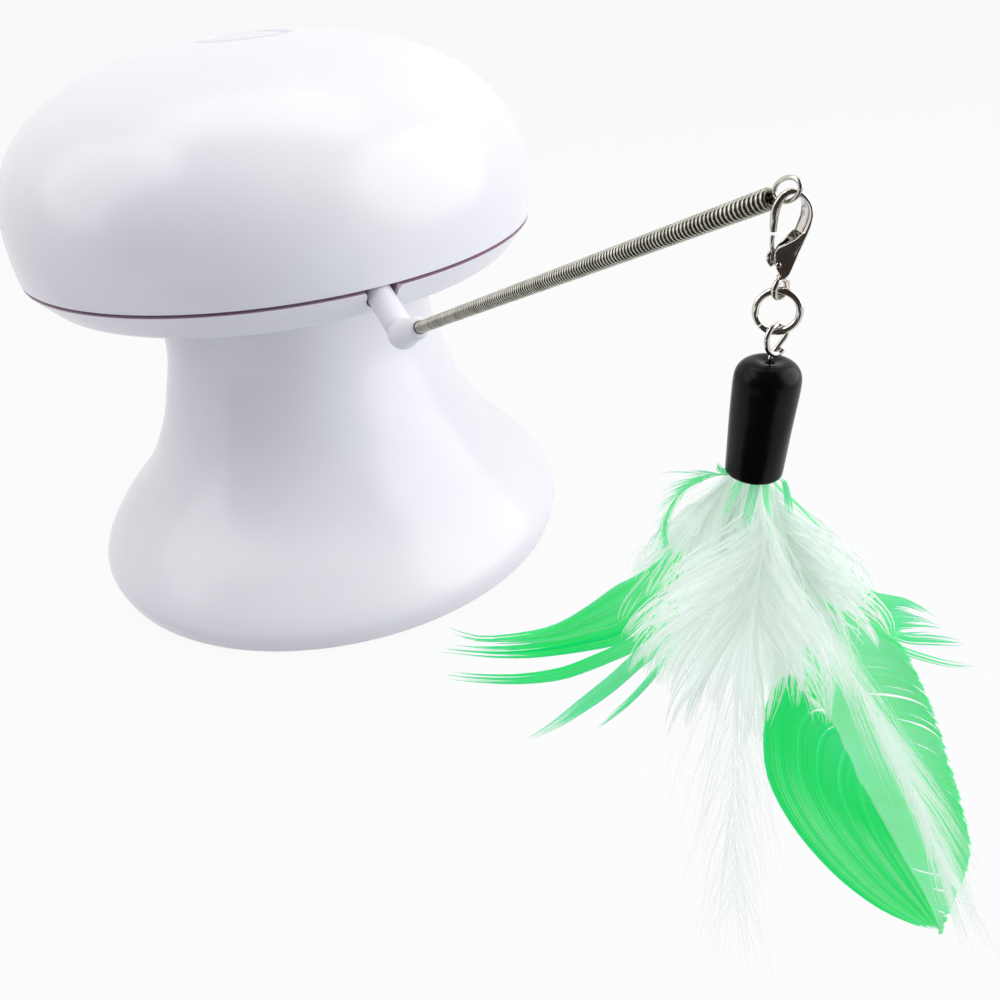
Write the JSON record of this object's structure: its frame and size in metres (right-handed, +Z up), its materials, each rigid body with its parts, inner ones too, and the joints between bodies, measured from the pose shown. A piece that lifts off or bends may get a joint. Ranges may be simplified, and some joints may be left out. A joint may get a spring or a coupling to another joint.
{
  "type": "cat toy",
  "caption": "Laser and feather cat toy: a white tower with a turning mushroom head, a spring arm and a feather lure on a clasp.",
  "frame": {"origin": "centre of the foot on the floor, below the axis that the head turns about; the plate's flat underside is 0.8 mm higher, on three foot pads", "axes": "+Z up along the tower, +X along the arm towards the feather lure, -Y towards the front"},
  "size_m": [0.299, 0.1474, 0.1505],
  "materials": {
    "gloss_white": "glossy moulded white",
    "satin_white": "satin moulded white",
    "inner_white": "plain moulded",
    "acetal": "moulded, slippery",
    "dark_plastic": "plain moulded",
    "pad_rubber": "soft grip pad",
    "nickel": "bright nickel plate",
    "spring_steel": "bright drawn wire",
    "zinc_steel": "zinc plated",
    "contact_brass": "stamped or turned",
    "cell_wrap": "printed film, left blank",
    "board_green": "solder mask",
    "red_lens": "clear red, polished",
    "black_vinyl": "glossy soft vinyl",
    "white_feather": "soft down",
    "green_feather": "dyed feather"
  },
  "bodies": {
    "base": {"base_shell": "gloss_white", "base_plate": "inner_white", "battery_door": "inner_white", "door_screw": "zinc_steel", "plate_screw_1": "zinc_steel", "plate_screw_2": "zinc_steel", "plate_screw_3": "zinc_steel", "foot_pad_1": "pad_rubber", "foot_pad_2": "pad_rubber", "foot_pad_3": "pad_rubber", "battery_cell_1": "cell_wrap", "battery_cell_2": "cell_wrap", "battery_cell_3": "cell_wrap", "contact_minus": "contact_brass", "contact_bridge_1": "contact_brass", "contact_bridge_2": "contact_brass", "contact_plus": "contact_brass", "neck_cap": "inner_white", "thrust_washer": "acetal", "sun_gear": "acetal", "spindle_clip": "zinc_steel", "slip_ring_drum": "dark_plastic", "slip_ring_1": "contact_brass", "slip_ring_2": "contact_brass"},
    "head": {"head_pan": "gloss_white", "head_dome": "gloss_white", "pan_screw_1": "zinc_steel", "pan_screw_2": "zinc_steel", "pan_screw_3": "zinc_steel", "motor_bracket": "dark_plastic", "gear_motor": "zinc_steel", "gear_axle": "zinc_steel", "control_board": "board_green", "tact_switch": "dark_plastic", "brush_block": "dark_plastic", "laser_module": "contact_brass", "laser_window": "red_lens", "arm_root": "satin_white"},
    "pinion": {"motor_pinion": "acetal"},
    "compound": {"compound_gear": "acetal"},
    "button": {"mode_button": "satin_white"},
    "elbow": {"elbow": "satin_white"},
    "spring": {"spring": "spring_steel"},
    "eye": {"spring_eye": "spring_steel"},
    "clasp": {"clasp_body": "nickel", "gate_pin": "nickel"},
    "gate": {"clasp_gate": "nickel"},
    "ring": {"jump_ring": "nickel"},
    "toy": {"cap_eye": "nickel", "feather_cap": "black_vinyl", "white_plume_1": "white_feather", "white_plume_2": "white_feather", "white_plume_3": "white_feather", "white_plume_4": "white_feather", "white_plume_5": "white_feather", "green_feather_1": "green_feather", "green_feather_2": "green_feather", "green_feather_3": "green_feather", "green_feather_4": "green_feather", "green_feather_5": "green_feather"}
  },
  "joints": [
    {"name": "head_turn", "type": "hinge", "parent": "base", "child": "head", "pos_m": [0, 0, 0.09], "axis": [0, 0, 1], "continuous": true},
    {"name": "compound_spin", "type": "hinge", "parent": "head", "child": "compound", "pos_m": [-0.01107, 0.01918, 0.1], "axis": [0, 0, 1], "continuous": true},
    {"name": "pinion_spin", "type": "hinge", "parent": "head", "child": "pinion", "pos_m": [-0.02679, 0.02826, 0.104], "axis": [0, 0, 1], "continuous": true},
    {"name": "button_press", "type": "slide", "parent": "head", "child": "button", "axis": [0, 0, -1], "range_m": [0, 0.0005], "stiffness_N_per_m": 400, "springref_m": -0.0005},
    {"name": "elbow_swivel", "type": "hinge", "parent": "head", "child": "elbow", "pos_m": [0.0802, 0, 0.0896], "axis": [0.9063, 0, -0.4226], "range_deg": [-90, 90]},
    {"name": "spring_bend_up", "type": "hinge", "parent": "elbow", "child": "spring", "pos_m": [0.11975, 0, 0.10647], "axis": [0, -1, 0], "range_deg": [-25, 45], "stiffness_Nm_per_rad": 0.06, "springref_deg": 3.72, "deforming": ["spring"]},
    {"name": "spring_bend_side", "type": "hinge", "parent": "spring", "child": "eye", "pos_m": [0.16298, 0, 0.12491], "axis": [-0.3923, 0, 0.9198], "range_deg": [-30, 30], "stiffness_Nm_per_rad": 0.05, "deforming": ["spring"]},
    {"name": "clasp_swing", "type": "hinge", "parent": "eye", "child": "clasp", "pos_m": [0.19831, 0, 0.13998], "axis": [0, 1, 0], "range_deg": [-40, 40]},
    {"name": "gate_open", "type": "hinge", "parent": "clasp", "child": "gate", "pos_m": [0.19765, -0.00064, 0.13181], "axis": [-0.7009, 0.7133, 0], "range_deg": [0, 22], "stiffness_Nm_per_rad": 0.002, "springref_deg": -17.19},
    {"name": "ring_swing", "type": "hinge", "parent": "clasp", "child": "ring", "pos_m": [0.1979, -0.0004, 0.12874], "axis": [0.7123, 0.7, -0.0506], "range_deg": [-35, 35]},
    {"name": "cap_swing", "type": "hinge", "parent": "ring", "child": "toy", "pos_m": [0.1978, -0.0005, 0.12599], "axis": [-0.7009, 0.7133, 0], "range_deg": [-25, 25]}
  ],
  "couplings": [
    {"joint": "compound_spin", "follows": "head_turn", "ratio": 2.6667},
    {"joint": "pinion_spin", "follows": "head_turn", "ratio": -6.9333}
  ]
}
